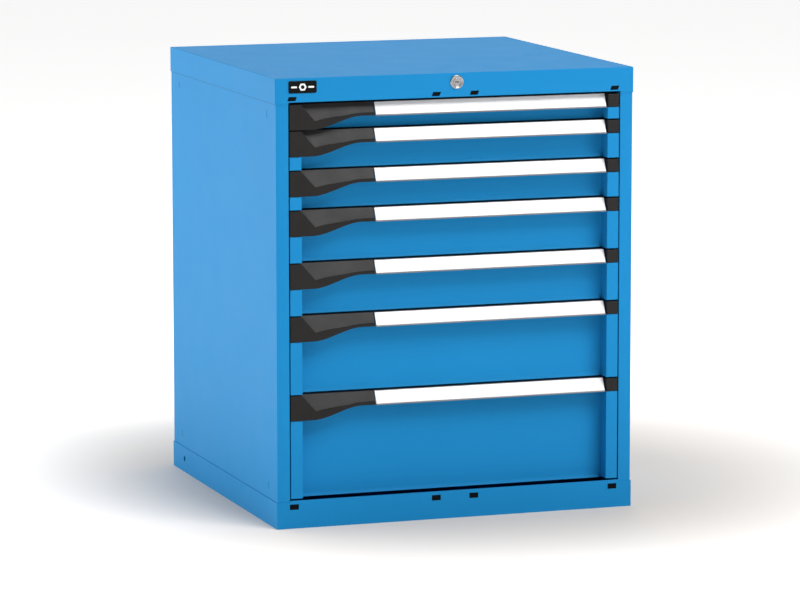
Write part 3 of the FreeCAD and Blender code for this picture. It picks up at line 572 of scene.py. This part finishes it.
soften(lock_face, 0.12 * MM, segments=2, angle=20)
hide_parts("lock_housing")


# ---------------------------------------------------------------- badge emblem
def relief(bm, outline, foot, crest):
    """Raised shape on a face that looks along -Y; outline holds (x, z) points."""
    mid_x = sum(x for x, _ in outline) / len(outline)
    mid_z = sum(z for _, z in outline) / len(outline)
    rings = []
    for y, inset in ((foot, 0.0), (crest + BADGE_EDGE, 0.0), (crest, BADGE_EDGE)):
        ring = []
        for x, z in outline:
            out = Vector((x - mid_x, 0, z - mid_z))
            out -= out.normalized() * inset
            ring.append(Vector((mid_x + out.x, y, mid_z + out.z)))
        rings.append(ring)
    loft(bm, rings)


def ring_relief(bm, outer, inner, foot, crest):
    """Raised ring between two outlines with equal point counts."""
    loops = [[bm.verts.new((x, y, z)) for x, z in line]
             for line, y in ((outer, foot), (outer, crest), (inner, crest), (inner, foot))]
    skin(bm, loops, closed=True)


def hexagon(cx, cz, radius, per_side=6):
    """Points along a hexagon, as (x, z), with the corners left and right."""
    corners = [(cx + radius * math.cos(math.radians(60 * i)),
                cz + radius * math.sin(math.radians(60 * i))) for i in range(6)]
    points = []
    for i in range(6):
        (xa, za), (xb, zb) = corners[i], corners[(i + 1) % 6]
        points += [(xa + (xb - xa) * k / per_side, za + (zb - za) * k / per_side)
                   for k in range(per_side)]
    return points


def circle(cx, cz, radius, count):
    """Points of a circle, as (x, z), anticlockwise."""
    return [(cx + radius * math.cos(2 * math.pi * i / count),
             cz + radius * math.sin(2 * math.pi * i / count)) for i in range(count)]


badge_low, badge_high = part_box("name_plate")
badge_wide = badge_high.x - badge_low.x
badge_tall = badge_high.z - badge_low.z
badge_x = (badge_low.x + badge_high.x) / 2
badge_z = (badge_low.z + badge_high.z) / 2
badge_foot = badge_low.y + BADGE_ROOT
badge_crest = badge_low.y - BADGE_RELIEF


def badge_rim(bm):
    outer = rounded_outline(badge_low.x + BADGE_MARGIN, badge_high.x - BADGE_MARGIN,
                            badge_low.z + BADGE_MARGIN, badge_high.z - BADGE_MARGIN, BADGE_CORNER)
    inset = BADGE_MARGIN + BADGE_RIM
    inner = rounded_outline(badge_low.x + inset, badge_high.x - inset,
                            badge_low.z + inset, badge_high.z - inset, BADGE_INNER_CORNER)
    ring_relief(bm, outer, inner, badge_foot, badge_crest + BADGE_EDGE)


def badge_nut(bm):
    outer = hexagon(badge_x, badge_z, NUT_RADIUS * badge_tall)
    hole = circle(badge_x, badge_z, NUT_HOLE * badge_tall, len(outer))
    ring_relief(bm, outer, hole, badge_foot, badge_crest)


def badge_bars(bm):
    half = BAR_HALF * badge_tall
    near, far = BAR_START * badge_wide, BAR_END * badge_wide
    for x0, x1 in ((badge_x - far, badge_x - near), (badge_x + near, badge_x + far)):
        relief(bm, rounded_outline(x0, x1, badge_z - half, badge_z + half, 0.9 * half),
               badge_foot, badge_crest)


piece("badge_rim", badge_rim, "housing", "badge_black")
piece("badge_nut", badge_nut, "housing", "label_white")
piece("badge_bars", badge_bars, "housing", "label_white")


# ---------------------------------------------------------------- screws at the back
def cross(cx, cz, arm, half, turn):
    """Corners of a cross recess, anticlockwise."""
    corners = []
    for i in range(4):
        a = turn + math.pi / 2 * i
        along, aside = Vector((math.cos(a), math.sin(a))), Vector((-math.sin(a), math.cos(a)))
        for point in (along * arm - aside * half, along * arm + aside * half,
                      along * half + aside * half):
            corners.append((cx + point.x, cz + point.y))
    return corners


def screw(bm, cx, cz, face, turn):
    """Domed head with a cross recess; face is the Y of the sheet that it stands on."""
    radius, rise = SCREW_RADIUS, SCREW_RISE
    levels = [(face, radius), (face + 0.3 * rise, 0.98 * radius),
              (face + 0.65 * rise, 0.86 * radius), (face + 0.9 * rise, 0.66 * radius),
              (face + rise, 0.5 * radius)]
    rings = [[bm.verts.new((x, y, z)) for x, z in circle(cx, cz, r, SCREW_STEPS)]
             for y, r in levels]
    skin(bm, rings)
    bm.faces.new(rings[0][::-1])
    outline = cross(cx, cz, RECESS_ARM * radius, RECESS_HALF * radius, turn)
    top = [bm.verts.new((x, face + rise, z)) for x, z in outline]
    deep = [bm.verts.new((cx + RECESS_TAPER * (x - cx), face + 0.25 * rise,
                          cz + RECESS_TAPER * (z - cz))) for x, z in outline]
    rim = [bm.edges.get((rings[-1][i], rings[-1][(i + 1) % SCREW_STEPS]))
           for i in range(SCREW_STEPS)]
    hole = [bm.edges.new((top[i], top[(i + 1) % len(top)])) for i in range(len(top))]
    bmesh.ops.triangle_fill(bm, edges=rim + hole, use_beauty=True)
    for i in range(len(top)):
        j = (i + 1) % len(top)
        bm.faces.new((top[j], top[i], deep[i], deep[j]))
    bm.faces.new(deep)


screws_low, screws_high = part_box("rear_screws")


def rear_screws(bm):
    """A row of screws along the panel's lower edge and one along its upper edge."""
    half_span = screws_high.x - SCREW_RADIUS
    for z in (screws_low.z + SCREW_RADIUS, screws_high.z - SCREW_RADIUS):
        for i in range(SCREWS_A_ROW):
            share = 2 * i / (SCREWS_A_ROW - 1) - 1
            screw(bm, share * half_span, z, screws_high.y - SCREW_RISE,
                  draw.uniform(0, math.pi / 2))


screw_heads = piece("rear_screw_heads", rear_screws, "housing", "rail_steel")
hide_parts("rear_screws")


# ---------------------------------------------------------------- stamped ribs at the back
def stamped_rib(bm, cx, z0, z1, face):
    """Long rounded ridge that rises from the sheet at Y face."""
    rings = []
    for y, inset in ((face - RIB_ROOT, 0.0), (face + 0.25 * RIB_RISE, 0.4 * MM),
                     (face + 0.75 * RIB_RISE, 2.2 * MM), (face + RIB_RISE, 4.2 * MM)):
        half = RIB_HALF - inset
        outline = rounded_outline(cx - RIB_HALF + inset, cx + RIB_HALF - inset, z0 + inset,
                                  z1 - inset, half - 0.1 * MM, steps=8)
        rings.append([Vector((x, y, z)) for x, z in outline])
    loft(bm, rings)


rear_low, rear_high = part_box("rear_panel")


def rear_ribs(bm):
    for cx in (-RIB_SPACING, 0.0, RIB_SPACING):
        stamped_rib(bm, cx, rear_low.z + RIB_FOOT_GAP, rear_high.z - RIB_TOP_GAP, rear_high.y)


piece("rear_panel_ribs", rear_ribs, "housing", "housing_paint", smooth=True)


# ---------------------------------------------------------------- painted shadow strip under the cover
SHADOW_STRIP_SECTION = ((0.0, 0.0), (0.55, 0.0), (0.75, 0.25), (0.75, 0.55), (0.55, 0.8),
                (0.0, 0.8))     # millimetres out from the side panel and down
cover_low, cover_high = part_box("top_cover")


def cover_shadow_strip(bm):
    """Thin dark bead of painted shadow under the cover's skirt, round the left side, the back and
    the right side.
    """
    side = cover_high.x - SIDE_INSET
    front, back = cover_low.y + SHADOW_STRIP_FRONT_GAP, cover_high.y - SHADOW_STRIP_BACK_GAP
    top = cover_high.z - COVER_SKIRT + SHADOW_STRIP_OVERLAP
    rings = []
    for x, y, out_x, out_y in ((-side, front, -1, 0), (-side, back, -1, 1),
                               (side, back, 1, 1), (side, front, 1, 0)):
        rings.append([Vector((x + out_x * out * MM, y + out_y * out * MM, top - drop * MM))
                      for out, drop in SHADOW_STRIP_SECTION])
    loft(bm, rings)


# painted shadow: a dark strip in the black plug finish below the cover's skirt
piece("cover_shadow_strip", cover_shadow_strip, "housing", "plug_black")


# ---------------------------------------------------------------- drawer hems
def drawer_hem(bm, low, high):
    """Rim folded over inwards along the top of a drawer's walls."""
    fold = HEM_WIDTH - HEM_GAUGE
    section = [(0.0, 0.0), (0.0, -0.3 * MM), (fold, -HEM_GAUGE), (fold, -HEM_DROP),
               (HEM_WIDTH, -HEM_DROP), (HEM_WIDTH, -0.5 * MM), (HEM_WIDTH - 0.5 * MM, 0.0)]
    loops = []
    for inward, dz in section:
        inset = TRAY_WALL + inward
        loops.append([bm.verts.new((x, y, high.z + dz)) for x, y in
                      ((low.x + inset, low.y + inset), (high.x - inset, low.y + inset),
                       (high.x - inset, high.y - inset), (low.x + inset, high.y - inset))])
    skin(bm, loops, closed=True)


for n in DRAWERS:
    tray_low, tray_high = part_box("drawer_%d_tray" % n)
    runners_low, runners_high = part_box("drawer_%d_runners" % n)
    handle_low, handle_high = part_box("drawer_%d_handle" % n)
    hem_low = Vector((runners_low.x + RUNNER_WIDTH, handle_high.y, tray_low.z))
    hem_high = Vector((runners_high.x - RUNNER_WIDTH, tray_high.y - CATCH_REACH,
                       tray_high.z - PANEL_ABOVE_RIM))
    hem = piece("drawer_%d_hem" % n, lambda bm: drawer_hem(bm, hem_low, hem_high),
                "drawer_%d" % n, "drawer_paint")
    soften(hem, HEM_SOFTNESS, segments=2, angle=30)


# ---------------------------------------------------------------- camera
def camera():
    """Long lens from the front left, a little above the cabinet."""
    yaw, pitch = math.radians(CAMERA_YAW), math.radians(CAMERA_PITCH)
    roll = math.radians(CAMERA_ROLL)
    data = bpy.data.cameras.new("camera")
    data.sensor_width = CAMERA_SENSOR
    data.lens = CAMERA_LENS
    data.clip_start = CAMERA_NEAREST
    data.clip_end = CAMERA_FARTHEST
    made = bpy.data.objects.new("camera", data)
    bpy.context.scene.collection.objects.link(made)
    forward = Vector((math.sin(yaw) * math.cos(pitch), math.cos(yaw) * math.cos(pitch),
                      -math.sin(pitch)))
    right = Vector((math.cos(yaw), -math.sin(yaw), 0))
    up = right.cross(forward)
    across = right * math.cos(roll) + up * math.sin(roll)
    upward = up * math.cos(roll) - right * math.sin(roll)
    turn = Matrix((across, upward, -forward)).transposed()
    made.matrix_world = Matrix.Translation(CAMERA_PLACE) @ turn.to_4x4()
    bpy.context.scene.camera = made


camera()


# ---------------------------------------------------------------- floor and light
def floor():
    half = FLOOR_HALF
    mesh = bpy.data.meshes.new("floor")
    mesh.from_pydata([(-half, -half, 0), (half, -half, 0), (half, half, 0), (-half, half, 0)],
                     [], [(0, 1, 2, 3)])
    made = bpy.data.objects.new("floor", mesh)
    bpy.context.scene.collection.objects.link(made)
    mesh.materials.append(studio_floor("studio_floor"))


def softbox(name, place, target, width, height, watts):
    """Rectangular area light at place that faces target."""
    data = bpy.data.lights.new(name, "AREA")
    data.shape = "RECTANGLE"
    data.size = width
    data.size_y = height
    data.energy = watts
    made = bpy.data.objects.new(name, data)
    bpy.context.scene.collection.objects.link(made)
    aim = Vector(target) - Vector(place)
    made.matrix_world = (Matrix.Translation(place)
                         @ aim.to_track_quat("-Z", "Y").to_matrix().to_4x4())


def studio():
    """White surroundings, brighter near the horizon, and the softboxes."""
    world = bpy.data.worlds.new("studio")
    bpy.context.scene.world = world
    world.use_nodes = True
    sky = world.node_tree
    background = sky.nodes["Background"]
    background.inputs["Color"].default_value = WHITE
    where = node(sky, "ShaderNodeTexCoord").outputs["Generated"]
    split = node(sky, "ShaderNodeSeparateXYZ", [("Vector", where)])
    glow = node(sky, "ShaderNodeMapRange", [("Value", split.outputs["Z"]),
                                            ("From Min", GLOW_LOW), ("From Max", GLOW_HIGH),
                                            ("To Min", HORIZON_GLOW), ("To Max", SKY_GLOW)],
                interpolation_type="SMOOTHSTEP")
    link(sky, glow.outputs["Result"], background.inputs["Strength"])
    for settings in SOFTBOXES:
        softbox(*settings)
    bpy.context.scene.view_settings.view_transform = "Standard"
    bpy.context.scene.view_settings.look = "None"


floor()
studio()
